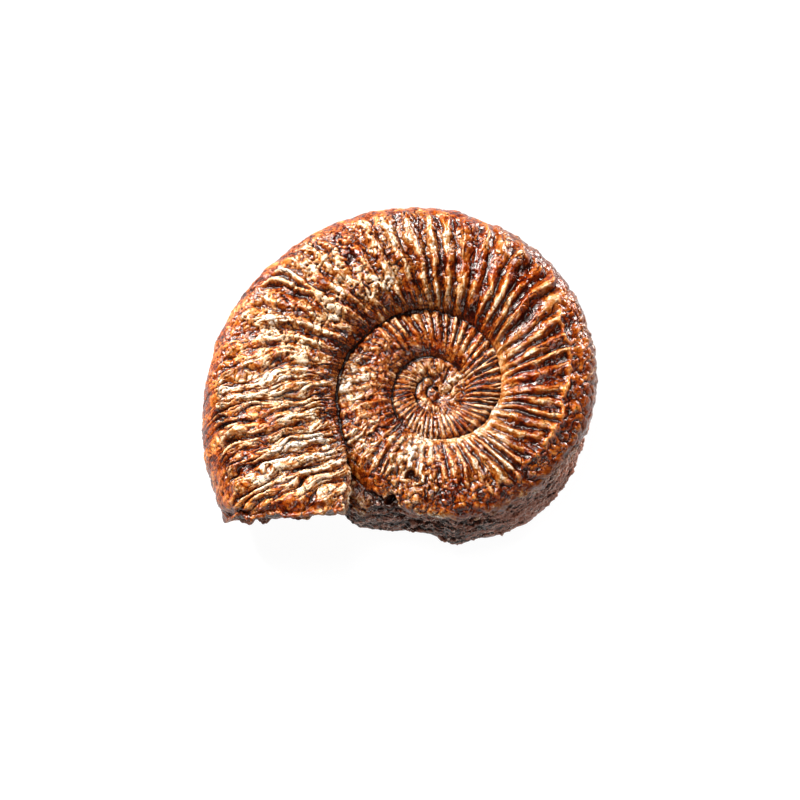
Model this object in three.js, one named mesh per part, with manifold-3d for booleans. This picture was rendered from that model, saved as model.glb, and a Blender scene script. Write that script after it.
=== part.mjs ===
// Ammonite fossil: a flat-coiled, ribbed shell turned to ironstone, lying on its flank, with a
// remnant of the rock it was split from still fused to its back and to the low side of its rim.
// Units are millimetres, +Z is up. The part stands on z = 0, under the centre of its own box.
// It formed as one stone, so it is one solid: whorls, rock remnant and broken edges are all joined.
import * as THREE from "three";
import { mergeVertices } from "three/addons/utils/BufferGeometryUtils.js";
import Module from "manifold-3d";

const wasm = await Module();
wasm.setup();

// ---- Driving dimensions ----
const VENTER_RADIUS = 63; // coil axis to the outer edge of the outer whorl, at its reference angle
const SEAM_SHARE = 0.4185; // seam radius over venter radius there
const SEAM_GROWTH = 2.26; // how much the seam's radius grows in one turn
const OUTER_GROWTH = 2.09; // the same for the outer edge, over the last turn
const OVERLAP = 1.18; // how far a whorl reaches past the seam that covers it
const HALF_THICKNESS = 0.2102; // half of a whorl's thickness over its venter radius
const SECTION_POWER = 2.6; // superellipse power of the whorl's section: 2 is an ellipse
const WORN_FLAT = 0.5; // depth of the flat worn on the flank that it lies on

const REFERENCE_ANGLE = 218; // degrees round the coil axis from +X, where the radii above hold
const SWEEP_END = 244; // where the outer whorl's sweep stops; its end is then broken off
const RIBS_PER_WHORL = [46, 40, 30, 20]; // from the outer whorl in; a small boss stands for the rest
const RIB_HEIGHT = 0.017; // rib height over venter radius
const SECTION_POINTS = 18;

const BREAK_POINT = new THREE.Vector3(-40, -34, 22); // on the upper edge of the broken end
const BREAK_LEAN = 0.2; // how far the break leans back under that edge, per millimetre down
const BREAK_TURN = 4; // degrees that the broken edge is turned from the X axis
const NOTCH = new THREE.Vector2(-22.5, -16); // right of and below this, the outer whorl is lost

// The rock remnant: a plate that fills the back of the coil, and a skirt round its low side.
// Skirt: how far the rock stands out past the rim, every 10 degrees, from SKIRT_START on.
const SKIRT_START = -132;
const SKIRT = [7.4, 7.2, 4.2, 1.9, 1.7, 3.9, 2.6, 3.6, 3.3, 2.3, 1.6, 1.0, 0.4, 0];
const PLATE_SHARE = 0.56; // elsewhere its radius over the venter radius, inside the outer whorl
const PLATE_TAPER = 4; // steps in which the skirt runs out into the plate
const ROCK_LEVELS = [
  { skirt: -1, out: -1.4, plate: -1 }, // height of the skirt, how far it is moved out, plate height
  { skirt: 4, out: 0, plate: 3 },
  { skirt: 12, out: -1.6, plate: 8 },
  { skirt: 17, out: -4.6, plate: 12.7 }, // inside the whorls, so that no hollow is sealed in
];

const rad = THREE.MathUtils.degToRad;
const halfEnd = VENTER_RADIUS * HALF_THICKNESS;
const MID_PLANE = halfEnd - WORN_FLAT; // height of the coil's plane of symmetry
const turnsBack = (degrees) => (degrees - REFERENCE_ANGLE) / 360;

// ---- The spiral ----
function seamRadius(degrees) {
  return VENTER_RADIUS * SEAM_SHARE * SEAM_GROWTH ** turnsBack(degrees);
}

function venterRadius(degrees) {
  const inLastTurn = degrees >= REFERENCE_ANGLE - 360;
  if (inLastTurn) return VENTER_RADIUS * OUTER_GROWTH ** turnsBack(degrees);
  return OVERLAP * seamRadius(degrees + 360);
}

// ---- Turning rings of points into a closed solid ----
// rings: equal lists of points, each a closed loop round the body, in order along it.
function solidFromRings(rings) {
  const around = rings[0].length;
  const points = rings.flat();
  const triangles = [];
  for (let i = 0; i + 1 < rings.length; i++)
    for (let j = 0; j < around; j++) {
      const a = i * around + j;
      const b = i * around + ((j + 1) % around);
      triangles.push(a, b, b + around, a, b + around, a + around);
    }
  for (const [ring, start, turned] of [
    [rings[0], 0, true],
    [rings.at(-1), (rings.length - 1) * around, false],
  ]) {
    const centre = ring
      .reduce((sum, p) => sum.add(p), new THREE.Vector3())
      .divideScalar(around);
    const hub = points.push(centre) - 1;
    for (let j = 0; j < around; j++) {
      const edge = [start + j, start + ((j + 1) % around)];
      triangles.push(hub, ...(turned ? edge.reverse() : edge));
    }
  }
  const geometry = new THREE.BufferGeometry().setFromPoints(points);
  geometry.setIndex(triangles);
  return toSolid(geometry);
}

function toSolid(geometry) {
  geometry.deleteAttribute("normal");
  geometry.deleteAttribute("uv");
  const merged = mergeVertices(geometry, 1e-4);
  const mesh = new wasm.Mesh({
    numProp: 3,
    vertProperties: new Float32Array(merged.attributes.position.array),
    triVerts: new Uint32Array(merged.index.array),
  });
  return new wasm.Manifold(mesh);
}

// ---- Whorls ----
// One point of a whorl's section, at an angle round the coil and an angle round the section.
function whorlPoint(degrees, around, ribSign) {
  const outer = venterRadius(degrees);
  const inner = 0.965 * seamRadius(degrees);
  const rib = ribSign * RIB_HEIGHT * outer;
  const halfWidth = (outer - inner) / 2 + 0.3 * rib;
  const halfHeight = HALF_THICKNESS * outer + 0.5 * rib;
  const round = (x) => Math.sign(x) * Math.abs(x) ** (2 / SECTION_POWER);
  const r = (outer + inner) / 2 + halfWidth * round(Math.cos(around));
  const z = MID_PLANE + halfHeight * round(Math.sin(around));
  return new THREE.Vector3(r * Math.cos(rad(degrees)), r * Math.sin(rad(degrees)), z);
}

// Part of a whorl, with one ring on each rib and one in each gap between ribs.
function sweep(from, to, ribsPerWhorl) {
  const step = 180 / ribsPerWhorl;
  const rings = [];
  for (let i = 0; from + i * step <= to; i++)
    rings.push(
      Array.from({ length: SECTION_POINTS }, (_, j) =>
        whorlPoint(from + i * step, (-2 * Math.PI * (j + 0.5)) / SECTION_POINTS, i % 2 ? 1 : -1),
      ),
    );
  return solidFromRings(rings);
}

// Whorls are swept in halves, which run one step into each other. The last half is broken off.
function coil() {
  let body = innermostBoss();
  RIBS_PER_WHORL.forEach((ribs, whorl) => {
    const end = REFERENCE_ANGLE - 360 * whorl;
    const last = sweep(end - 180, whorl ? end + 180 / ribs : SWEEP_END, ribs);
    body = body.add(whorl ? last : last.subtract(pastTheBreak()));
    body = body.add(sweep(end - 360, end - 180 + 180 / ribs, ribs));
  });
  return body;
}

// The innermost turns are too small to tell apart, and stand as one low dome.
function innermostBoss() {
  const radius = 1.25 * seamRadius(REFERENCE_ANGLE - 360 * (RIBS_PER_WHORL.length - 1));
  const boss = new THREE.SphereGeometry(radius, 20, 12);
  boss.scale(1, 1, 0.36);
  boss.translate(0, 0, MID_PLANE);
  return toSolid(boss);
}

// ---- Rock remnant ----
function rockPoint(degrees, level) {
  const step = (degrees - SKIRT_START) / 10;
  const onSkirt = step < SKIRT.length;
  const rim = venterRadius(degrees);
  const taper = Math.max(0, 1 - (step - SKIRT.length + 1) / PLATE_TAPER);
  const plate = rim * (PLATE_SHARE + (1 - PLATE_SHARE) * taper);
  const r = onSkirt ? rim + SKIRT[Math.floor(step)] + level.out : plate;
  const z = onSkirt ? level.skirt : level.plate;
  return new THREE.Vector3(r * Math.cos(rad(degrees)), r * Math.sin(rad(degrees)), z);
}

function rock() {
  const steps = 36;
  const rings = ROCK_LEVELS.map((level) =>
    Array.from({ length: steps }, (_, i) => rockPoint(SKIRT_START + 10 * i, level)),
  );
  return solidFromRings(rings);
}

// ---- Broken end and resting flat ----
function block(width, depth, height) {
  return toSolid(new THREE.BoxGeometry(width, depth, height));
}

// Everything past the break: a leaning block for the broken end, and one for the notch beside it.
function pastTheBreak() {
  const reach = 60;
  const end = new THREE.BoxGeometry(reach, reach, 2 * reach);
  end.translate(0, -reach / 2, 0);
  end.rotateX(Math.atan(BREAK_LEAN));
  end.rotateZ(rad(BREAK_TURN));
  end.translate(BREAK_POINT.x, BREAK_POINT.y, BREAK_POINT.z);
  const notch = block(reach, reach, 2 * reach).translate([
    NOTCH.x + reach / 2,
    NOTCH.y - reach / 2,
    0,
  ]);
  return toSolid(end).add(notch);
}

function ammonite() {
  const below = block(300, 300, 40).translate([0, 0, -20]);
  return coil().add(rock()).subtract(below);
}

function toGeometry(solid) {
  const { numProp, vertProperties, triVerts } = solid.getMesh();
  const positions = new Float32Array((vertProperties.length / numProp) * 3);
  for (let i = 0; i < positions.length / 3; i++)
    positions.set(vertProperties.subarray(i * numProp, i * numProp + 3), i * 3);
  const geometry = new THREE.BufferGeometry();
  geometry.setAttribute("position", new THREE.BufferAttribute(positions, 3));
  geometry.setIndex(new THREE.BufferAttribute(triVerts, 1));
  return geometry;
}

const geometry = toGeometry(ammonite());
geometry.computeBoundingBox();
const box = geometry.boundingBox.getCenter(new THREE.Vector3());
geometry.translate(-box.x, -box.y, 0);
geometry.computeVertexNormals();

const fossil = new THREE.Mesh(
  geometry,
  new THREE.MeshStandardMaterial({ color: 0x9c5e30, roughness: 0.42, metalness: 0 }),
);
fossil.name = "ammonite_fossil";

const part = new THREE.Group();
part.add(fossil);

export default part;
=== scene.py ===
import math

import bpy
import numpy as np
from mathutils import Matrix, Vector


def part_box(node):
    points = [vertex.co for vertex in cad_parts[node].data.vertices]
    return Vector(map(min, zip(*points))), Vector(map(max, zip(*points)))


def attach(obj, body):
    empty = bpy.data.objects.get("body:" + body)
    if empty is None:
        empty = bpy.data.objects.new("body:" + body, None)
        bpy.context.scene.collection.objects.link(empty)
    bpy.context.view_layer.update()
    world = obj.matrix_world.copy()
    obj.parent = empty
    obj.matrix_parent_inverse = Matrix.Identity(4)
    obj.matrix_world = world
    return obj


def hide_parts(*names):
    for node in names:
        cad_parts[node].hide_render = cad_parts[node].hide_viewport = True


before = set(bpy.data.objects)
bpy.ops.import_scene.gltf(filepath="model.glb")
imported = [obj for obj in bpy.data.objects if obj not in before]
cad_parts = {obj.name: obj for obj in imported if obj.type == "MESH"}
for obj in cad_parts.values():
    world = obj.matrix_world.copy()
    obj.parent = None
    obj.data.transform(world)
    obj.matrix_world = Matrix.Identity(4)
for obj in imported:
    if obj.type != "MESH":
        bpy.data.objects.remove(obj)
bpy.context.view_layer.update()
NODE = "ammonite_fossil"
LOW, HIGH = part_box(NODE)

# ---- The coil, with the CAD model's own proportions ----
VENTER_RADIUS = 63.0
SEAM_SHARE = 0.4185
SEAM_GROWTH = 2.26
OUTER_GROWTH = 2.09
OVERLAP = 1.18
HALF_THICKNESS = 0.2102
OUTER_POWER = 2.6  # of the superellipse that a whorl has for its section, on its outer side
INNER_POWER = 2.15  # and on its inner side, towards the coil axis
WORN_FLAT = 0.5
REFERENCE_ANGLE = 218.0
SWEEP_END = 244.0
WHORLS = 5
SEAM_REACH = 0.965  # a whorl's inner edge over its seam radius
OVERRUN = 6  # degrees by which each half whorl runs into the next
MID_PLANE = VENTER_RADIUS * HALF_THICKNESS - WORN_FLAT
AXIS = (0.5911, 0.4349)  # the coil's axis, as shares of the box's width and depth

BREAK_POINT = (-40.0, -34.0, 22.0)  # on the upper edge of the broken end
BREAK_LEAN = 0.2  # how far the break leans back under that edge, per millimetre down
BREAK_TURN = math.radians(4)  # how far the broken edge is turned from the X axis
BREAK_MARGIN = 0.4  # vertices this far past the cut still belong to the outer whorl
NOTCH = (-22.5, -16.0)  # right of and below this, the outer whorl is lost

# The rock remnant: how far it stands out past the rim, every SKIRT_STEP degrees from SKIRT_START.
SKIRT_START = -132.0
SKIRT_STEP = 10
SKIRT = [7.4, 7.2, 4.2, 1.9, 1.7, 3.9, 2.6, 3.6, 3.3, 2.3, 1.6, 1.0, 0.4, 0]
PLATE_SHARE = 0.56  # elsewhere its radius over the venter radius, inside the outer whorl
PLATE_TAPER = 4  # steps in which the skirt runs out into that plate
# Height of the skirt, how far it is moved out, and height of the plate.
ROCK_LEVELS = [(-1, -1.4, -1), (4, 0, 3), (11, -1.6, 8), (15.5, -4.0, 12.7)]

HIGHEST = 26.9  # crests that stand higher lose the next share of what is over it
PRESSED = 0.75
STREAK_LENGTH = 9  # millimetres of a rib to one unit of the streaks' noise

VOXEL = 0.25


def seam_radius(phi):
    return VENTER_RADIUS * SEAM_SHARE * SEAM_GROWTH ** ((phi - REFERENCE_ANGLE) / 360)


def venter_radius(phi):
    phi = np.asarray(phi, float)
    last = VENTER_RADIUS * OUTER_GROWTH ** ((phi - REFERENCE_ANGLE) / 360)
    return np.where(phi >= REFERENCE_ANGLE - 360, last, OVERLAP * seam_radius(phi + 360))


# ---- Noise ----
def mix_bits(ix, iy, iz, seed):
    """A random whole number for each grid point."""
    h = ix.astype(np.uint32) * np.uint32(0x8DA6B343)
    h ^= iy.astype(np.uint32) * np.uint32(0xD8163841)
    h ^= iz.astype(np.uint32) * np.uint32(0xCB1AB31F)
    h += np.uint32((seed * 0x9E3779B1) & 0xFFFFFFFF)
    h ^= h >> np.uint32(13)
    h *= np.uint32(0x5BD1E995)
    h ^= h >> np.uint32(15)
    h *= np.uint32(0x27D4EB2D)
    return h ^ (h >> np.uint32(14))


def noise(x, y, z=None, seed=0):
    """Gradient noise, about -1 to 1."""
    z = np.zeros_like(x) if z is None else z
    base = [np.floor(c) for c in (x, y, z)]
    frac = [(c - b).astype(np.float32) for c, b in zip((x, y, z), base)]
    cell = [b.astype(np.int64) for b in base]
    fade = [f * f * f * (f * (f * 6 - 15) + 10) for f in frac]
    total = np.zeros(len(x), np.float32)
    for dx in (0, 1):
        for dy in (0, 1):
            for dz in (0, 1):
                h = mix_bits(cell[0] + dx, cell[1] + dy, cell[2] + dz, seed)
                dot = ((h & 1023) / 511.5 - 1) * (frac[0] - dx)
                dot += (((h >> 10) & 1023) / 511.5 - 1) * (frac[1] - dy)
                dot += (((h >> 20) & 1023) / 511.5 - 1) * (frac[2] - dz)
                w = fade[0] if dx else 1 - fade[0]
                w = w * (fade[1] if dy else 1 - fade[1])
                w = w * (fade[2] if dz else 1 - fade[2])
                total += (w * dot).astype(np.float32)
    return total * 1.5


def fbm(x, y, z, octaves, seed):
    """Noise with finer and lower noise added to it."""
    total, size, scale = 0, 1.0, 1.0
    for i in range(octaves):
        total = total + size * noise(x * scale, y * scale, z * scale, seed + i)
        size, scale = size * 0.5, scale * 2.03
    return total


def cells(x, y, z, seed):
    """Distance to the nearest of one random point in each unit cell, and that cell's own number."""
    base = [np.floor(c).astype(np.int64) for c in (x, y, z)]
    near = np.full(len(x), 9.0, np.float32)
    own = np.zeros(len(x), np.float32)
    for dx in (-1, 0, 1):
        for dy in (-1, 0, 1):
            for dz in (-1, 0, 1):
                h = mix_bits(base[0] + dx, base[1] + dy, base[2] + dz, seed)
                d = (base[0] + dx + (h & 1023) / 1023 - x) ** 2
                d += (base[1] + dy + ((h >> 10) & 1023) / 1023 - y) ** 2
                d += (base[2] + dz + ((h >> 20) & 1023) / 1023 - z) ** 2
                closer = d < near
                near = np.where(closer, d, near)
                own = np.where(closer, (h >> 7 & 255) / 255, own)
    return np.sqrt(near), own


def ramp(a, b, x):
    """0 below a and 1 above b, with a soft rise between them. If b is less than a, it falls."""
    t = np.clip((x - a) / (b - a), 0, 1)
    return t * t * (3 - 2 * t)


def window(x, low, high, soft):
    """1 from low to high and 0 outside, with soft ends."""
    return ramp(low - soft, low + soft, x) * (1 - ramp(high - soft, high + soft, x))


# ---- The smooth body ----
def mesh_object(name, vertices, faces):
    mesh = bpy.data.meshes.new(name)
    mesh.from_pydata([tuple(v) for v in vertices], [], faces)
    mesh.validate()
    obj = bpy.data.objects.new(name, mesh)
    bpy.context.scene.collection.objects.link(obj)
    return obj


def ring_object(name, rings):
    """A closed body from equal rings of points."""
    count, around = len(rings), len(rings[0])
    faces = []
    for i in range(count - 1):
        for j in range(around):
            a, b = i * around + j, i * around + (j + 1) % around
            faces.append((a, b, b + around, a + around))
    faces.append(tuple(reversed(range(around))))
    faces.append(tuple((count - 1) * around + j for j in range(around)))
    return mesh_object(name, np.concatenate(rings), faces)


def whorl_ring(phi, around):
    outer, inner = float(venter_radius(phi)), SEAM_REACH * float(seam_radius(phi))
    a = -2 * np.pi * (np.arange(around) + 0.5) / around
    power = 2 / np.where(np.cos(a) > 0, OUTER_POWER, INNER_POWER)
    r = (outer + inner) / 2 + (outer - inner) / 2 * np.sign(np.cos(a)) * np.abs(np.cos(a)) ** power
    z = HALF_THICKNESS * outer * np.sign(np.sin(a)) * np.abs(np.sin(a)) ** power
    t = math.radians(phi)
    return np.stack([r * math.cos(t), r * math.sin(t), MID_PLANE + z], axis=1)


def sweep(name, start, end, step=3.0, around=48):
    angles = np.arange(start, end + 0.01, step)
    return ring_object(name, [whorl_ring(phi, around) for phi in angles])


def rock_ring(skirt_z, out, plate_z):
    step = 2.5
    points = []
    for i in range(int(360 / step)):
        phi = SKIRT_START + step * i
        place = step * i / SKIRT_STEP
        rim = float(venter_radius(phi))
        last = len(SKIRT) - 1
        reach = np.interp(place, range(len(SKIRT)), SKIRT)
        taper = max(0.0, 1 - (place - last) / PLATE_TAPER)
        plate = rim * (PLATE_SHARE + (1 - PLATE_SHARE) * taper)
        r, z = (rim + reach + out, skirt_z) if place <= last else (plate, plate_z)
        t = math.radians(phi)
        points.append((r * math.cos(t), r * math.sin(t), z))
    return np.array(points)


def cut_off_end(obj):
    reach = 60.0
    end = mesh_object("cutter", *box_shape((-reach / 2, -reach, -reach), (reach / 2, 0, reach)))
    turn = Matrix.Rotation(BREAK_TURN, 4, "Z")
    lean = Matrix.Rotation(math.atan(BREAK_LEAN), 4, "X")
    end.data.transform(Matrix.Translation(BREAK_POINT) @ turn @ lean)
    low = (NOTCH[0], NOTCH[1] - reach, -reach)
    notch = mesh_object("cutter", *box_shape(low, (NOTCH[0] + reach, NOTCH[1], reach)))
    for cutter in (end, notch):
        cut = obj.modifiers.new("cut", "BOOLEAN")
        cut.operation, cut.solver, cut.object = "DIFFERENCE", "EXACT", cutter
        bake_modifiers(obj)
        bpy.data.objects.remove(cutter)


def box_shape(low, high):
    corners = [[(low, high)[i >> axis & 1][axis] for axis in range(3)] for i in range(8)]
    faces = [(0, 2, 3, 1), (4, 5, 7, 6), (0, 1, 5, 4), (2, 6, 7, 3), (0, 4, 6, 2), (1, 3, 7, 5)]
    return corners, faces


def bake_modifiers(obj):
    graph = bpy.context.evaluated_depsgraph_get()
    made = bpy.data.meshes.new_from_object(obj.evaluated_get(graph))
    obj.modifiers.clear()
    obj.data = made


def smooth_body():
    end = REFERENCE_ANGLE
    last = sweep("whorl", end - 180, SWEEP_END)
    cut_off_end(last)
    parts = [last, sweep("whorl", end - 360, end - 180 + OVERRUN)]
    for _ in range(1, WHORLS):
        end -= 360
        parts.append(sweep("whorl", end - 180, end + OVERRUN))
        parts.append(sweep("whorl", end - 360, end - 180 + OVERRUN))
    parts.append(ring_object("rock", [rock_ring(*level) for level in ROCK_LEVELS]))
    bpy.ops.object.select_all(action="DESELECT")
    for part in parts:
        part.select_set(True)
    bpy.context.view_layer.objects.active = parts[0]
    bpy.ops.object.join()
    body = parts[0]
    remesh = body.modifiers.new("remesh", "REMESH")
    remesh.mode, remesh.voxel_size = "VOXEL", VOXEL
    bake_modifiers(body)
    return body


# ---- Reading and writing the mesh as arrays ----
def get_points(mesh):
    co = np.zeros(len(mesh.vertices) * 3)
    mesh.vertices.foreach_get("co", co)
    return co.reshape(-1, 3)


def get_normals(mesh):
    n = np.zeros(len(mesh.vertices) * 3)
    mesh.vertices.foreach_get("normal", n)
    return n.reshape(-1, 3)


def set_points(mesh, points):
    mesh.vertices.foreach_set("co", points.astype(np.float32).ravel())
    mesh.update()


def get_edges(mesh):
    e = np.zeros(len(mesh.edges) * 2, np.int64)
    mesh.edges.foreach_get("vertices", e)
    return e.reshape(-1, 2)


def smoothed(values, edges, rounds):
    """Each value moved to the mean of its neighbours, again and again."""
    count = len(values)
    a, b = edges.T
    degree = np.bincount(a, minlength=count) + np.bincount(b, minlength=count)
    flat = values.reshape(count, -1).copy()
    for _ in range(rounds):
        for k in range(flat.shape[1]):
            column = flat[:, k]
            total = np.bincount(a, column[b], count) + np.bincount(b, column[a], count)
            flat[:, k] = 0.5 * column + 0.5 * total / degree
    return flat.reshape(values.shape)


def store(mesh, name, values):
    attribute = mesh.attributes.new(name, "FLOAT", "POINT")
    attribute.data.foreach_set("value", values.astype(np.float32))


# ---- The coil's own coordinates ----
FAR = 1e9


def coil_place(p):
    """Each point's radius and angle, its whorl's unrolled angle, how far up the flank it is, from 0 at
    the seam to 1 at the venter, and its distances from that whorl's surface and the next nearest."""
    r = np.hypot(p[:, 0], p[:, 1])
    theta = np.degrees(np.arctan2(p[:, 1], p[:, 0]))
    first = REFERENCE_ANGLE - 360
    start = first + np.mod(theta - first, 360)
    best = np.full(len(p), FAR)
    second = np.full(len(p), FAR)
    phi = start.copy()
    for whorl in range(-1, WHORLS):
        angle = start - 360 * whorl
        outer, inner = venter_radius(angle), SEAM_REACH * seam_radius(angle)
        x = (r - (outer + inner) / 2) / ((outer - inner) / 2)
        z = (p[:, 2] - MID_PLANE) / (HALF_THICKNESS * outer)
        power = np.where(x > 0, OUTER_POWER, INNER_POWER)
        g = (np.abs(x) ** power + np.abs(z) ** power) ** (1 / power)
        reach = np.hypot(r - (outer + inner) / 2, p[:, 2] - MID_PLANE)
        away = (1 - 1 / np.maximum(g, 1e-3)) * reach
        if whorl < 0:
            away = np.where((angle > SWEEP_END) | past_the_break(p), FAR, away)
        gap = np.abs(away)
        better = gap < best
        second = np.where(better, best, np.minimum(second, gap))
        best = np.where(better, gap, best)
        phi = np.where(better, angle, phi)
    seam = seam_radius(phi)
    flank = (r - seam) / (venter_radius(phi) - seam)
    return r, theta, phi, flank, best, second


def inside_the_break(p):
    """How far points are from the broken end's face, towards the rest of the shell."""
    x, y, z = (p[:, i] - BREAK_POINT[i] for i in range(3))
    return -math.sin(BREAK_TURN) * x + math.cos(BREAK_TURN) * y + BREAK_LEAN * z


def past_the_break(p):
    in_notch = (p[:, 0] > NOTCH[0] + BREAK_MARGIN) & (p[:, 1] < NOTCH[1] - BREAK_MARGIN)
    return (inside_the_break(p) < -BREAK_MARGIN) | in_notch


# ---- Where things are on the coil ----
OUTER_START = REFERENCE_ANGLE - 360  # unrolled angle at which the outer whorl starts
NEXT_START = OUTER_START - 360  # and the next one in

# Stretches round the axis: from, to, and how soft their ends are, in degrees from +X.
LOW_SIDE = (-140, -22, 10)  # rock stands against the rim
CRUSTED = (-48, 34, 8)  # a crust covers the ribs' ends
LUMPED = (-122, -56, 10)  # lumps cover more of them
CREAMY = (-122, -92, 8)  # and are paler here
LIP_SIDE = (-118, 34, 14)  # the outer whorl's inner edge stands up as a lip
UNDER_LIP = (-92, -8, 12)
SLEEK = (-50, 85, 15)  # the outer whorl's smoothest stretch
RUBBED = (-45, 125, 20)  # the inner whorls' ribs are worn away
CHIPPED_RIM = (5, 75, 10)
STEEP_RIM = (-75, 72, 14)
# the outer whorl's right side, painted darker as shade
SHADED_SIDE = (-80, 80, 25)
LIGHT_ROCK = (-66, 10, 9)
# The same, but in degrees from 0 to 360.
FULL_RIM = (135, 205, 15)
LEFT_RIM = (95, 240, 10)
DEEP_SEAM = (95, 222, 15)
# along here the seam's crease is painted black as shade
SHADED_SEAM = (100, 228, 18)
# Stretches along the coil, in unrolled degrees.
TALL_RIBS = (0, 110, 20)
WORN = (108, 170, 9)  # the outer whorl is broken into beads and pits
SHORT_RIBS = (-318, -238, 8)  # strong ribs that stop short of the inner seam
DEEP_RIBS = (-388, -322, 10)
LUMPY = [(-225, -135, 12), (-120, -88, 8)]  # ribs wear away into lumps
BALD_PLACE, BALD_RADIUS = (-7.0, 9.5), 2.6  # a patch without ribs, in millimetres from the axis

# Deep holes in the upper side: place, radius and depth, in millimetres from the coil's axis.
HOLES = [
    (-11.7, -29.7, 1.7, 3.0),
    (-6.1, -22.6, 1.4, 2.0),
    (-4.4, -23.6, 0.9, 1.2),
    (0.3, 0.9, 0.6, 0.9),
]


def plates(x, y, z, seed):
    """Noise like flat, rounded plates with sharp cracks between them, about -0.5 to 0.45."""
    return 1.0 - np.exp(-5.5 * np.abs(noise(x, y, z, seed))) - 0.55


class Coil:
    """Where each vertex is on the coil, and how much of each kind of surface it has, from 0 to 1."""

    def __init__(self, points, normals, edges):
        self.points, self.normals, self.edges = points, normals, edges
        self.x, self.y, self.z = points.T
        self.r, self.theta, self.phi, self.flank, self.off, self.second = coil_place(points)
        self.turned = np.mod(self.theta, 360)
        self.up = normals[:, 2]
        self.top = ramp(-0.3, 0.3, self.up)
        self.outer = (self.phi >= OUTER_START).astype(float)
        self.inner = 0.35 + 0.65 * ramp(3, 14, self.r)  # relief is lower on the small whorls
        self.blotch = fbm(*self.at(4), 3, 90)
        self.swell = fbm(*self.at(9), 2, 50)
        self.grain = fbm(*self.at(1.3), 3, 40)
        self.find_rock()
        self.find_seams()
        self.find_wear()
        self.find_rim()

    def at(self, size):
        """The vertices' places, in units of the given size in millimetres."""
        return self.points.T / size

    def find_rock(self):
        low_side = self.outer * window(self.theta, *LOW_SIDE)
        low_side = low_side * ramp(0.955, 0.995, self.flank + 0.04 * self.blotch)
        off_shell = ramp(0.6, 1.3, self.off + 0.35 * self.blotch)
        self.rock = smoothed(np.maximum(low_side, off_shell), self.edges, 2)
        self.shell = 1 - self.rock
        # The notch beside the broken end is filled with rock that has taken the shell's colour.
        filled = window(self.x, -24, -16, 1) * ramp(-34, -30, self.y) * ramp(-18, -22, self.y)
        self.filled = filled * ramp(9, 13, self.z)
        on_end = self.outer * (self.phi > 200) * (self.x < NOTCH[0])
        self.near_face = on_end * (1 - ramp(0, 5, inside_the_break(self.points) + self.blotch))

    def find_seams(self):
        self.crease = np.exp(-((self.second / 0.5) ** 2)) * (1 - ramp(1.0, 1.3, self.flank))
        lip_side = window(self.theta, *LIP_SIDE)
        self.plain_side = 1 - lip_side
        self.lip = self.outer * lip_side * np.exp(-(((self.flank - 0.045) / 0.065) ** 2))
        under_lip = (1 - self.outer) * (self.phi > NEXT_START) * window(self.theta, *UNDER_LIP)
        self.under_lip = under_lip * ramp(0.55, 0.8, self.flank)
        self.wall = window(self.flank, -0.02, 0.16, 0.03) * (self.phi > NEXT_START) * self.plain_side

    def find_wear(self):
        self.broad = self.outer * ramp(150, 180, self.phi)
        self.sleek = self.outer * window(self.theta, *SLEEK) * ramp(0.1, 0.5, self.up)
        chips = plates(*self.at(2.8), 60) + 0.35 * plates(*self.at(1.3), 61)
        self.chips = chips * (1 - 0.45 * self.sleek) * (1 - 0.4 * self.broad)
        self.rubbed = ramp(-495, -520, self.phi) * window(self.theta, *RUBBED)
        lumpy = sum(window(self.phi, *stretch) for stretch in LUMPY)
        self.lumpy = np.clip(lumpy * window(self.flank, 0.05, 1.1, 0.05), 0, 1)
        worn = self.outer * window(self.phi, *WORN) * window(self.flank, 0.2, 0.86, 0.08)
        self.worn = worn * ramp(-0.35, 0.2, self.blotch)
        self.boss = (1 - ramp(5, 9, self.r)) * self.top
        line = fbm(*self.at(8), 3, 75)
        self.cracks = np.exp(-((line / 0.022) ** 2)) * ramp(0.0, 0.3, self.swell)
        self.phase = rib_phase(self)

    def find_rim(self):
        self.crusted = window(self.theta, *CRUSTED)
        self.lumped = self.outer * window(self.theta, *LUMPED)
        ragged = 0.05 * noise(self.phase * 0.9, self.r / 9, seed=15) + 0.03 * self.blotch
        # Where on the flank the ribs give way to the rim's crust.
        self.rim_start = 0.84 - 0.17 * self.crusted - 0.26 * self.lumped + ragged
        self.past_ribs = ramp(self.rim_start, self.rim_start + 0.07, self.flank)
        self.rim = self.outer * self.past_ribs * self.shell
        self.at_rim = self.outer * ramp(0.86, 0.96, self.flank)
        share = self.crusted + 0.8 * self.lumped
        self.crust = self.rim * share * (1 - ramp(0.86, 0.96, self.flank))
        torn = np.exp(-(((self.flank - self.rim_start - 0.035) / 0.04) ** 2))
        torn = torn * self.crusted * self.outer
        self.torn = torn * (0.75 + 0.6 * noise(*self.at(2.4), 17))
        self.left_rim = self.outer * ramp(0.86, 0.94, self.flank) * window(self.turned, *LEFT_RIM)


# ---- Ribs ----
RIB_KNOTS = [-1582, -1222, -862, -502, -142, 218, 300]  # unrolled degrees
RIB_COUNTS = [0, 18, 44, 84, 131, 182, 194]  # ribs passed by then
RIBS_PER_TURN = (51, 47, 40)  # on the outer whorl, the next one, and those inside it
LEAN_KNOTS = [-1000, -142, 100, 150, 180, 195, 215, 244]  # unrolled degrees
LEANS = [6, 6, 7, 11, 14, 0, -12, -16]  # how far ribs lean forward from the radius there, in degrees
CREST_POWER = 3.0  # how steep a rib's sides are
# Wrinkles along the ribs: how many to a rib, their length in millimetres, their share and seed.
WRINKLES = [(2.1, 6, 1.0, 30), (4.6, 3, 0.6, 31), (8.5, 1.8, 0.2, 32)]


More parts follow.
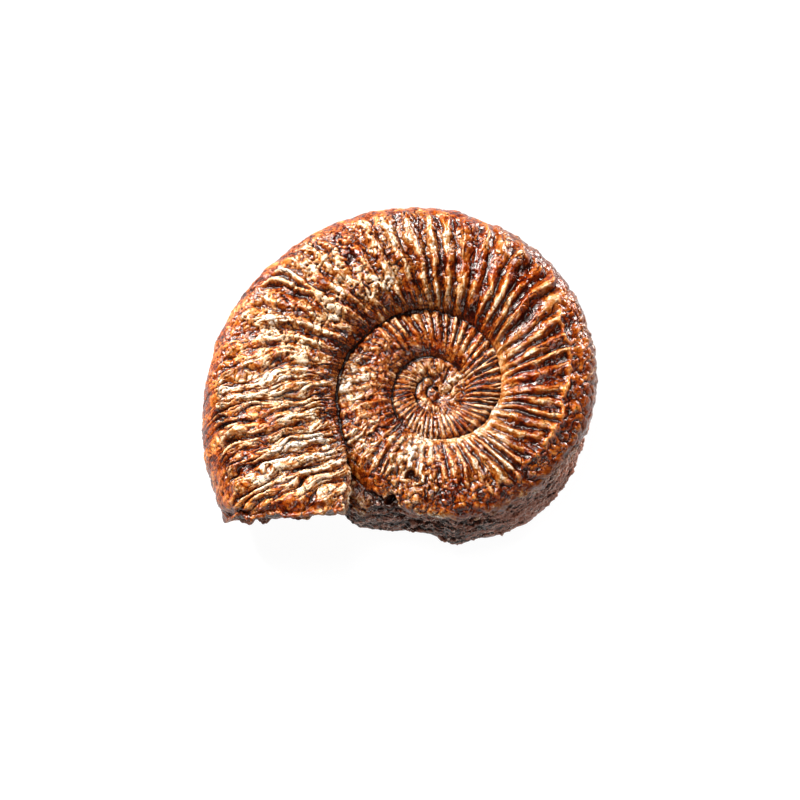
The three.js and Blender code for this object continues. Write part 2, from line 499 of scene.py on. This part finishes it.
def rib_phase(c):
    """How many ribs the coil has passed at each point, with the ribs' lean and wander."""
    spread = np.log(np.maximum(c.r / seam_radius(c.phi), 0.5))
    lean = np.radians(np.interp(c.phi, LEAN_KNOTS, LEANS))
    back = np.degrees(np.tan(lean) * spread) + 7 * ramp(0.82, 1.1, c.flank)
    angle = c.phi - back
    phase = np.interp(angle, RIB_KNOTS, RIB_COUNTS)
    phase += (0.34 + 0.3 * c.broad) * noise(angle / 17, c.r / 14, seed=3)
    phase += (0.16 + 0.2 * c.broad) * noise(angle / 6, c.r / 6, seed=4)
    return phase + 0.07 * noise(angle / 2.5, c.r / 2.5, seed=5)


def crest(x, width):
    return 1 / (1 + (np.abs(x) / width) ** CREST_POWER)


def rib_section(c):
    """Ribs as a height from about -0.5 to 0.5, before it is scaled. Some split in two on their way out."""
    rib = np.floor(c.phase)
    whole = rib.astype(np.int64)
    h = mix_bits(whole, whole * 7, whole * 3, 11)
    shift, split_place, split_chance, tallness = (((h >> bits) & 255) / 255 for bits in (0, 8, 16, 24))
    x = c.phase - rib - 0.5 + 0.14 * (shift - 0.5)
    split_from = 0.30 + 0.45 * split_place
    splits = split_chance < 0.15 + 0.15 * (c.phi > 110)
    apart = np.where(splits, 0.24 * ramp(split_from, split_from + 0.25, c.flank), 0)
    width = 0.27 - 0.45 * apart + 0.10 * c.broad + 0.08 * noise(c.x / 7, c.y / 7, seed=7)
    width = width + 0.08 * (split_place - 0.5)
    sharp = np.maximum(crest(x - apart, width), crest(x + apart, width))
    height = 0.70 + 0.5 * tallness + 0.35 * noise(rib * 3.7, c.r / 4, seed=6)
    # A cut runs along some of the broad ribs.
    cut = c.broad * ramp(0.28, 0.42, noise(c.phase * 3.1, c.r / 9, seed=8))
    return sharp * height - 0.45 - 0.35 * cut


def rib_strength(c):
    """How much of its full height a rib has, from where it is on its whorl."""
    strength = ramp(0.0, 0.16, c.flank) * (1 - 0.85 * c.past_ribs)
    # Ribs rise again where they cross the venter, and are low on the underside.
    across = 0.22 * ramp(0.97, 1.0, c.flank) * (1 - ramp(0.1, 0.5, c.up))
    strength = np.maximum(strength, across) * (1 - 0.75 * ramp(0.15, 0.6, -c.up))
    strength = np.where(c.outer > 0, strength, ramp(-0.05, 0.1, c.flank))
    strength = strength * (1 - 0.6 * ramp(-840, -880, c.phi))
    short = window(c.phi, *SHORT_RIBS)
    strength = strength * (1 - short * (1 - ramp(0.2, 0.45, c.flank)))
    strength = strength * (1 + 0.35 * short + 0.6 * window(c.phi, *DEEP_RIBS))
    from_bald = np.hypot(c.x - BALD_PLACE[0], c.y - BALD_PLACE[1]) / BALD_RADIUS
    strength = strength * (1 - 0.8 * np.exp(-(from_bald**2)) * c.top)
    return strength * (1 - 0.75 * c.rubbed)


def rib_relief(c):
    """Ribs, and the wrinkles that run along them."""
    outer, following, inner = RIBS_PER_TURN
    per_turn = np.where(c.outer > 0, outer, np.where(c.phi > NEXT_START, following, inner))
    spacing = 2 * np.pi * c.r / per_turn
    strength = rib_strength(c)
    wobble = 1 + 0.45 * noise(*c.at(5), 20)
    share = (0.30 + 0.05 * window(c.phi, *TALL_RIBS)) * strength * wobble * (1 - 0.55 * c.lumpy)
    bark = 0
    for count, length, size, seed in WRINKLES:
        bark = bark + size * plates(c.phase * count, c.r / length, None, seed)
    barked = strength * (0.06 + 0.05 * c.broad) + 0.07 * c.wall
    return spacing * (share * rib_section(c) + barked * bark)


# ---- Wear, seams, rim and rock: heights in millimetres ----
def wear_relief(c):
    """Swells, chips, lumps, beads, pits, cracks and gouges."""
    general = 0.35 * c.swell + 0.25 * c.blotch + 0.20 * c.chips + 0.05 * c.grain
    d = general * c.inner * (1 - 0.8 * c.at_rim)
    lump, _ = cells(*c.at(1.9), 65)
    d += c.lumpy * (0.75 * (0.5 - lump) + 0.2 * c.chips) * c.inner
    bead, _ = cells(*c.at(1.5), 66)
    d += c.worn * (0.7 * (0.45 - bead) + 0.5 * c.chips)
    near, own = cells(*c.at(2.2), 70)
    pits = (1 - ramp(0.14, 0.36, near)) * (own > 0.66 - 0.2 * c.worn)
    d -= pits * c.shell * c.inner * (0.25 + 0.5 * c.worn)
    d -= 0.35 * c.cracks * c.inner
    gouge = ramp(0.42, 0.60, noise(c.phase * 0.8, c.r / 4.5, seed=19))
    gouge = gouge * window(c.flank, 0.1, 0.9, 0.06)
    return d - 0.45 * gouge * c.shell * c.inner * (1 - 0.5 * c.sleek)


def centre_relief(c):
    """The innermost turns are worn into lumps."""
    lump, _ = cells(*c.at(2.0), 68)
    in_boss = c.boss * (0.5 * (0.5 - lump) + 0.25 * c.chips)
    return in_boss + c.rubbed * (0.45 * (0.5 - lump) + 0.15 * c.chips)


def seam_relief(c):
    """The crease between whorls, and the raised lip beside it."""
    depth = 0.12 * c.plain_side + 0.5 * window(c.turned, *DEEP_SEAM)
    return 0.6 * c.lip - 0.5 * c.under_lip - depth * c.crease * np.minimum(1, c.r / 18) * c.shell


def hole_shares(c):
    """For each of the deep holes, its depth and how far each vertex is in it."""
    for x, y, radius, deep in HOLES:
        away = np.hypot(c.x - x, c.y - y) / radius * (1 + 0.4 * c.blotch)
        yield deep, np.exp(-(away**4)) * c.top


def rim_relief(c):
    """Outside the ribs, the rim is a crust of grains with a torn inner edge."""
    lines = plates(c.flank * 26 + c.blotch, c.theta / 30, None, 16) * ramp(138, 162, c.theta)
    slabs = plates(*c.at(3.4), 18)
    d = c.rim * (0.10 * c.grain + 0.12 * c.chips + 0.40 * lines)
    d += 0.45 * c.chips * c.at_rim * window(c.theta, *CHIPPED_RIM) * c.shell
    d += 0.35 * c.at_rim * window(c.turned, *FULL_RIM)
    d += 1.3 * c.torn + c.crust * (-0.15 + 0.45 * slabs + 0.1 * c.chips)
    return d + c.rim * c.crusted * ramp(0.86, 0.95, c.flank) * 0.5 * slabs


def rock_relief(c):
    """Granular rock, with ledges that follow its bedding. The broken end is blocky instead."""
    grains = fbm(c.x / 1.7, c.y / 1.7, c.z / 0.8, 3, 80)
    bedding = c.z / 2.6 + 1.1 * fbm(c.x / 15, c.y / 15, c.z / 5, 3, 88) + 0.2 * c.blotch
    ledges = np.abs(np.mod(bedding, 1) - 0.5) - 0.25
    uneven = 0.5 + 1.1 * ramp(-0.5, 0.5, fbm(c.x / 6, c.y / 6, c.z / 3, 2, 87))
    facets = plates(c.x / 5, c.y / 5, c.z / 3, 85)
    d = 0.45 * grains + 1.6 * uneven * (1 - 0.8 * c.near_face) * ledges
    d += (0.55 + 0.6 * c.near_face) * facets - 0.75 * (1 - c.filled)
    foot = 0.25 + 0.75 * ramp(0.5, 3.5, c.z)
    return foot * d


def warp(c):
    """Small sideways shifts, so that no edge or rib runs quite true. They are larger at the break."""
    near_break = window(c.y, -44, -31, 1.5) * (c.x < -18)
    shift = np.zeros_like(c.points)
    for axis in (0, 1):
        shift[:, axis] = 0.55 * noise(*c.at(9), 200 + axis)
        shift[:, axis] += near_break * 1.3 * noise(c.x / 5, c.y / 5, c.z / 9, 210 + axis)
    return shift


def carve(body):
    """Moves each vertex along its normal, then stores what the material needs."""
    mesh = body.data
    edges = get_edges(mesh)
    c = Coil(get_points(mesh), get_normals(mesh), edges)
    d = rib_relief(c) + wear_relief(c) + centre_relief(c) + seam_relief(c) + rim_relief(c)
    for deep, share in hole_shares(c):
        d -= deep * share
        # The holes join the cracks' mask, which paints them black: painted shade in the holes.
        c.cracks = np.maximum(c.cracks, share)
    d = d * c.shell + c.rock * rock_relief(c)
    # The broken end is rounded over.
    near_end = c.near_face * c.top
    d = d * (1 - 0.6 * near_end) - 1.3 * near_end**2
    # Edges are made crisper, except at the foot.
    d += 0.7 * (d - smoothed(d, edges, 2)) * ramp(1, 4, c.z)
    moved = c.points + warp(c) + c.normals * d[:, None]
    over = np.maximum(moved[:, 2] - HIGHEST, 0)
    moved[:, 2] = np.maximum(moved[:, 2] - PRESSED * over, 0)
    set_points(mesh, moved)
    store_shape(c, mesh, moved)
    store_colours(c, mesh)


CREST_RANGE = 0.24  # height over the near surroundings from black to white, in millimetres
HEIGHT_RANGE = 1.3  # and over the far ones


def store_shape(c, mesh, moved):
    """How far each vertex stands out from its surroundings, near and far."""
    near_mean = smoothed(moved, c.edges, 5)
    far_mean = smoothed(near_mean, c.edges, 40)
    normals = get_normals(mesh)
    bump = np.einsum("ij,ij->i", moved - near_mean, normals)
    hollow = np.einsum("ij,ij->i", moved - far_mean, normals) * (1 - 0.95 * c.near_face)
    # The material darkens low places by these as painted shade, and lightens high ones partly as painted
    # highlight.
    store(mesh, "crest", np.clip(0.5 + bump / CREST_RANGE, 0, 1))
    store(mesh, "height", np.clip(0.5 + hollow / HEIGHT_RANGE, 0, 1))


def store_colours(c, mesh):
    """How much of each colour and finish there is at each vertex."""
    # Painted shade: the crease between whorls is painted black on the coil's shaded side.
    seam_shade = c.crease * c.shell * ramp(-0.7, 0.2, c.blotch) * window(c.turned, *SHADED_SEAM)
    light_rock = c.rock * window(c.theta, *LIGHT_ROCK) - 0.4 * c.filled
    # Painted shade: the steep rim on the right is painted dark.
    steep = ramp(0.88, 0.97, c.flank + 0.05 * c.blotch) * window(c.theta, *STEEP_RIM)
    steep = steep * (0.75 + 0.5 * c.blotch) * c.outer * c.shell
    store(mesh, "rock", c.rock * (1 - 0.75 * c.filled))
    # Black here is painted shade along the shaded seam and in the deep holes, and the cracks' own dark
    # colour.
    store(mesh, "crease", np.clip(np.maximum(seam_shade, 0.8 * c.cracks), 0, 1))
    store(mesh, "pale", np.clip(np.where(c.rock > 0.5, light_rock, paleness(c)), -1, 1))
    store(mesh, "rust", np.clip(rustiness(c) * c.shell, 0, 1))
    store(mesh, "matt", np.clip(c.left_rim, 0, 1))
    store(mesh, "sleek", c.sleek)
    # Painted shade: the umbilical wall away from the lip side, and the gap under the lip, are darkened in
    # the material.
    store(mesh, "wall", np.clip(c.wall * c.shell + c.under_lip, 0, 1))
    store(mesh, "steep", np.clip(steep, 0, 1))
    # Coordinates for streaks: ribs passed, and distance along them.
    store(mesh, "rib", c.phase)
    store(mesh, "span", c.r / STREAK_LENGTH)


def paleness(c):
    pale = 0.8 * c.worn + 0.7 * c.broad * window(c.flank, 0.12, 0.8, 0.08)
    pale += 0.2 * c.lumpy + 0.25 * c.outer * ramp(200, 212, c.phi)
    pale += 0.15 * c.boss + 0.12 * c.lumped * window(c.flank, 0.2, 0.9, 0.1)
    pale += 0.3 * c.lumped * window(c.theta, *CREAMY) * window(c.flank, 0.1, 0.75, 0.1)
    # The lip along the lower-right seam is painted pale: partly its own cream colour, partly painted
    # highlight on the side that faces the key light.
    pale = np.clip(pale * (0.7 + 0.6 * c.blotch), 0, 1) + 1.3 * c.lip * (0.8 + 0.4 * c.blotch)
    # Painted shade: the outer whorl is darker on its right side, away from the key light.
    pale -= 0.22 * c.outer * window(c.theta, *SHADED_SIDE)
    return pale - 0.9 * c.near_face * ramp(-0.6, 0.4, c.blotch)


def rustiness(c):
    rust = (c.rim * (0.45 + 0.6 * c.blotch) + 0.6 * c.crust) * (1 - 0.45 * c.lumped) + 1.2 * c.torn
    rust += c.outer * window(c.flank, 0.7, 0.9, 0.06) * ramp(0.0, 0.5, c.blotch)
    rust += 0.5 * ramp(200, 225, c.phi) * ramp(-0.2, 0.4, c.blotch)
    return rust + 0.6 * c.near_face + 0.7 * c.left_rim


# ---- Material ----
class Nodes:
    """A short way to write a node tree. Noise scales are per metre."""

    def __init__(self, material):
        material.use_nodes = True
        self.tree = material.node_tree
        self.tree.nodes.clear()

    def add(self, kind, inputs=None, **settings):
        node = self.tree.nodes.new(kind)
        for key, value in settings.items():
            setattr(node, key, value)
        for key, value in (inputs or {}).items():
            socket = node.inputs[key]
            if isinstance(value, bpy.types.NodeSocket):
                self.tree.links.new(value, socket)
            else:
                socket.default_value = value
        return node

    def attribute(self, name):
        return self.add("ShaderNodeAttribute", attribute_name=name).outputs["Fac"]

    def math(self, operation, a, b, clamp=False):
        node = self.add("ShaderNodeMath", {0: a, 1: b}, operation=operation)
        node.use_clamp = clamp
        return node.outputs[0]

    def plus(self, a, b):
        return self.math("ADD", a, b)

    def minus(self, a, b):
        return self.math("SUBTRACT", a, b)

    def times(self, a, b):
        return self.math("MULTIPLY", a, b)

    def shifted(self, value, by, amount):
        """A value moved up or down by noise that is 0.5 on average."""
        return self.plus(value, self.times(self.minus(by, 0.5), amount))

    def place(self):
        return self.add("ShaderNodeTexCoord").outputs["Object"]

    def noise(self, scale, detail, roughness, distortion=0.0, where=None):
        values = {"Vector": where or self.place(), "Scale": scale, "Detail": detail}
        values.update({"Roughness": roughness, "Distortion": distortion})
        return self.add("ShaderNodeTexNoise", values).outputs["Fac"]

    def veins(self, scale):
        """Distance to the nearest of the lines between irregular cells, as a share of their size."""
        where = self.place()
        wander = self.add("ShaderNodeTexNoise", {"Vector": where, "Scale": 500.0, "Detail": 3.0})
        shift = self.add("ShaderNodeVectorMath", {0: wander.outputs["Color"]}, operation="SCALE")
        shift.inputs["Scale"].default_value = 0.0016
        moved = self.add("ShaderNodeVectorMath", {0: where, 1: shift.outputs[0]}, operation="ADD")
        values = {"Vector": moved.outputs[0], "Scale": scale}
        return self.add("ShaderNodeTexVoronoi", values, feature="DISTANCE_TO_EDGE").outputs["Distance"]

    def range(self, value, low, high, to_low=0.0, to_high=1.0):
        values = {"Value": value, "From Min": low, "From Max": high}
        values.update({"To Min": to_low, "To Max": to_high})
        return self.add("ShaderNodeMapRange", values, interpolation_type="SMOOTHSTEP").outputs[0]

    def ramp(self, value, stops):
        node = self.add("ShaderNodeValToRGB", {"Fac": value})
        elements = node.color_ramp.elements
        for i, (place, colour) in enumerate(stops):
            element = elements[i] if i < 2 else elements.new(place)
            element.position, element.color = place, (*colour, 1)
        return node.outputs[0]

    def blend(self, share, a, b, blend_type="MIX"):
        node = self.add("ShaderNodeMix", data_type="RGBA", blend_type=blend_type)
        for index, value in ((0, share), (6, a), (7, b)):
            socket = node.inputs[index]
            if isinstance(value, bpy.types.NodeSocket):
                self.tree.links.new(value, socket)
            else:
                socket.default_value = value if index == 0 else (*value, 1)
        return node.outputs[2]


# Colours of the shell, from its grooves to its crests, and the height at which each one starts. The dark
# grooves are painted shade and the pale crests partly painted highlight, over the stone's own browns.
SHELL_COLOURS = [
    (0.00, (0.016, 0.001, 0.0)),
    (0.18, (0.070, 0.006, 0.0)),
    (0.34, (0.165, 0.025, 0.0006)),
    (0.50, (0.28, 0.070, 0.007)),
    (0.66, (0.385, 0.150, 0.035)),
    (0.82, (0.525, 0.315, 0.145)),
    (1.00, (0.87, 0.69, 0.51)),
]
# Slow changes of hue over the stone, as factors on those colours.
HUES = [
    (0.36, (1.08, 0.70, 0.38)),
    (0.46, (1.02, 0.9, 0.78)),
    (0.54, (1, 1, 1)),
    (0.64, (0.88, 0.96, 1.15)),
]
RUST_COLOURS = [
    (0.10, (0.030, 0.003, 0.0004)),
    (0.35, (0.16, 0.018, 0.0006)),
    (0.60, (0.40, 0.075, 0.003)),
    (0.85, (0.62, 0.20, 0.020)),
]
# Colours of the rock, from its hollows to its crests; the dark end is partly painted shade.
ROCK_COLOURS = [
    (0.28, (0.010, 0.001, 0.0)),
    (0.54, (0.060, 0.012, 0.005)),
    (0.92, (0.36, 0.14, 0.09)),
]
BLACK = (0.012, 0.001, 0.0)
ROCK_GLINT = (0.58, 0.40, 0.33)  # painted glints on the rock
# painted shade on the steep rim
RIM_SHADE = (0.085, 0.016, 0.004)

BUMP_STRENGTH = 0.45
BUMP_DEPTH = 0.00025
SPECULAR = 0.55
SPECULAR_TINT = (1.0, 0.93, 0.86, 1)


class StoneNodes(Nodes):
    """The vertex attributes and noises that several parts of the stone's material share."""

    def __init__(self, material):
        super().__init__(material)
        self.crest, self.height = self.attribute("crest"), self.attribute("height")
        self.pale, self.matt = self.attribute("pale"), self.attribute("matt")
        self.rock, self.steep = self.attribute("rock"), self.attribute("steep")
        # Less noise on the smooth stretch.
        self.quiet = self.minus(1.0, self.times(self.attribute("sleek"), 0.5))
        self.broad = self.noise(140, 3, 0.5)
        self.patch = self.noise(340, 4, 0.6, 0.4)
        self.grain = self.noise(1200, 4, 0.7)
        inputs = {"X": self.attribute("rib"), "Y": self.attribute("span")}
        along = self.add("ShaderNodeCombineXYZ", inputs).outputs[0]
        self.streak = self.noise(2.4, 5, 0.65, where=along)


def shell_tone(n):
    """Where each point of the shell is between its grooves' colour and its crests'. Low places are
    darkened as painted shade and high ones lightened, partly as painted highlight; the noises add the
    stone's own tone.
    """
    tone = n.plus(-0.085, n.times(n.height, 0.98))
    tone = n.plus(tone, n.times(n.matt, 0.02))
    tone = n.shifted(tone, n.patch, n.times(n.quiet, 1.4))
    tone = n.shifted(tone, n.broad, 1.0)
    tone = n.shifted(tone, n.grain, n.times(n.quiet, 1.3))
    tone = n.shifted(tone, n.streak, 1.6)
    tone = n.plus(tone, n.times(n.pale, 0.30))
    tone = n.shifted(tone, n.crest, 0.25)
    # Painted shade on the umbilical wall and in the gap under the lip.
    return n.minus(tone, n.times(n.attribute("wall"), 0.16))


def shell_colour(n, tone):
    hue = n.ramp(n.noise(70, 3, 0.6), HUES)
    colour = n.blend(1.0, n.ramp(tone, SHELL_COLOURS), hue, "MULTIPLY")
    rusty = n.range(n.shifted(n.attribute("rust"), n.broad, 1.5), 0.30, 0.75)
    colour = n.blend(n.times(rusty, 0.85), colour, n.ramp(tone, RUST_COLOURS))
    # Painted shade: small hollows, where the crest attribute is low, are painted black.
    hollow_shade = n.shifted(n.crest, n.noise(1700, 2, 0.5), 0.8)
    specks = n.range(n.noise(1000, 3, 0.75), 0.40, 0.35)
    veins = n.times(n.range(n.veins(420), 0.075, 0.02), n.range(n.streak, 0.48, 0.58))
    colour = n.blend(n.range(hollow_shade, 0.32, 0.10, 0, 0.9), colour, BLACK)
    colour = n.blend(n.times(specks, n.times(n.quiet, 0.85)), colour, BLACK)
    colour = n.blend(n.times(veins, 0.85), colour, BLACK)
    # Painted shade on the steep rim.
    return n.blend(n.times(n.steep, 0.8), colour, RIM_SHADE)


def rock_colour(n):
    """Dark stone in beds, darker in its hollows as painted shade and kept dark partly as painted shade on
    its underside, with painted glints on its crests. Noise is flattened along the bedding.
    """
    inputs = {0: n.place(), 1: (1.0, 1.0, 4.0)}
    flattened = n.add("ShaderNodeVectorMath", inputs, operation="MULTIPLY").outputs[0]
    bedding = n.noise(330, 5, 0.7, 0.6, where=flattened)
    tone = n.shifted(n.minus(n.height, 0.08), bedding, 3.4)
    tone = n.shifted(tone, n.grain, 1.2)
    tone = n.plus(tone, n.times(n.pale, 0.34))
    glints = n.shifted(n.noise(820, 3, 0.7, where=flattened), n.crest, 0.25)
    return n.blend(n.range(glints, 0.63, 0.70), n.ramp(tone, ROCK_COLOURS), ROCK_GLINT)


def stone_roughness(n, tone):
    dull = n.plus(n.times(n.rock, 0.04), n.times(n.matt, 0.2))
    dull = n.minus(dull, n.times(n.steep, 0.10))
    # The grooves are polished like black glass, and show no haze.
    glassy = n.times(n.range(tone, 0.50, 0.20), n.range(n.crest, 0.75, 0.50))
    dull = n.minus(dull, n.times(glassy, 0.20))
    return n.math("ADD", n.range(n.grain, 0.35, 0.7, 0.07, 0.22), dull, clamp=True)


def fossil_material():
    material = bpy.data.materials.new("fossil_stone")
    n = StoneNodes(material)
    tone = shell_tone(n)
    colour = n.blend(n.rock, shell_colour(n, tone), rock_colour(n))
    # Painted shade in the shaded seam and the holes, and the cracks' own black.
    creased = n.range(n.attribute("crease"), 0.3, 0.9, 0, 0.95)
    colour = n.blend(creased, colour, BLACK)
    relief = n.plus(n.grain, n.patch)
    bump_inputs = {"Strength": BUMP_STRENGTH, "Distance": BUMP_DEPTH, "Height": relief}
    inputs = {
        "Base Color": colour,
        "Roughness": stone_roughness(n, tone),
        "Specular IOR Level": SPECULAR,
        "Specular Tint": SPECULAR_TINT,
        "Normal": n.add("ShaderNodeBump", bump_inputs).outputs[0],
    }
    shader = n.add("ShaderNodeBsdfPrincipled", inputs)
    n.add("ShaderNodeOutputMaterial", {"Surface": shader.outputs[0]})
    return material


FLOOR_GREY = 0.10
FLOOR_GLOW = 0.95  # so that the floor is near white, whatever light falls on it


def floor_material():
    material = bpy.data.materials.new("pale_floor")
    n = Nodes(material)
    inputs = {
        "Base Color": (FLOOR_GREY, FLOOR_GREY, FLOOR_GREY, 1),
        "Roughness": 1.0,
        "Specular IOR Level": 0.0,
        "Emission Color": (1, 1, 1, 1),
        "Emission Strength": FLOOR_GLOW,
    }
    shader = n.add("ShaderNodeBsdfPrincipled", inputs)
    n.add("ShaderNodeOutputMaterial", {"Surface": shader.outputs[0]})
    return material


# ---- The piece ----
def make_ammonite():
    body = smooth_body()
    carve(body)
    body.name = body.data.name = "ammonite"
    low, high = Vector(LOW), Vector(HIGH)
    x = low.x + AXIS[0] * (high.x - low.x)
    y = low.y + AXIS[1] * (high.y - low.y)
    body.data.transform(Matrix.Translation((x, y, 0)) @ Matrix.Scale(0.001, 4))
    body.data.polygons.foreach_set("use_smooth", [True] * len(body.data.polygons))
    body.data.materials.clear()
    body.data.materials.append(fossil_material())
    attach(body, "root")
    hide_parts(NODE)
    return Vector((x, y, MID_PLANE * 0.001))


# ---- The studio, in metres ----
FLOOR_REACH = 3
FLOOR_DROP = 0.00005  # just under the stone, so that the two don't touch
# Soft round lights: name, place, diameter and power.
LIGHTS = [
    ("key", (-0.35, 0.33, 0.33), 0.20, 7.4),
    ("top", (-0.20, 0.36, 0.85), 0.50, 8.0),
    ("fill", (0.22, -0.50, 0.50), 0.20, 1.1),
    ("edge", (0.42, 0.42, 0.09), 0.22, 5.2),
]
WORLD_LIGHT = 0.06
TILT = math.radians(15)  # of the view from straight down
TURN = math.radians(-85)  # the side that it is tilted to
DISTANCE = 0.8
FIELD = 0.2031  # width of the view at that distance
SENSOR = 36  # millimetres
VIEW_SHIFT = Vector((-0.00914, -0.0017, 0))  # from the coil's axis to the middle of the view


def make_floor():
    r = FLOOR_REACH
    obj = mesh_object("floor", [(-r, -r, 0), (r, -r, 0), (r, r, 0), (-r, r, 0)], [(0, 1, 2, 3)])
    obj.location.z = -FLOOR_DROP
    obj.data.materials.append(floor_material())


def soft_light(name, place, size, power, target):
    data = bpy.data.lights.new(name, "AREA")
    data.shape, data.size, data.energy = "DISK", size, power
    obj = bpy.data.objects.new(name, data)
    bpy.context.scene.collection.objects.link(obj)
    obj.location = place
    obj.rotation_euler = (target - obj.location).to_track_quat("-Z", "Y").to_euler()


def make_camera(target):
    data = bpy.data.cameras.new("camera")
    data.sensor_width, data.lens = SENSOR, SENSOR * DISTANCE / FIELD
    obj = bpy.data.objects.new("camera", data)
    bpy.context.scene.collection.objects.link(obj)
    bpy.context.scene.camera = obj
    flat = math.sin(TILT)
    away = Vector((flat * math.cos(TURN), flat * math.sin(TURN), math.cos(TILT)))
    right = (Vector((1, 0, 0)) - away * away.x).normalized()
    up = away.cross(right)
    turned = Matrix((right, up, away)).transposed().to_4x4()
    obj.matrix_world = Matrix.Translation(target + away * DISTANCE) @ turned


def make_world():
    world = bpy.data.worlds.new("studio")
    bpy.context.scene.world = world
    world.use_nodes = True
    back = world.node_tree.nodes["Background"]
    back.inputs["Color"].default_value = (1, 1, 1, 1)
    back.inputs["Strength"].default_value = WORLD_LIGHT


target = make_ammonite() + VIEW_SHIFT
make_floor()
make_camera(target)
make_world()
for light in LIGHTS:
    soft_light(*light, target)
bpy.context.scene.view_settings.view_transform = "Standard"
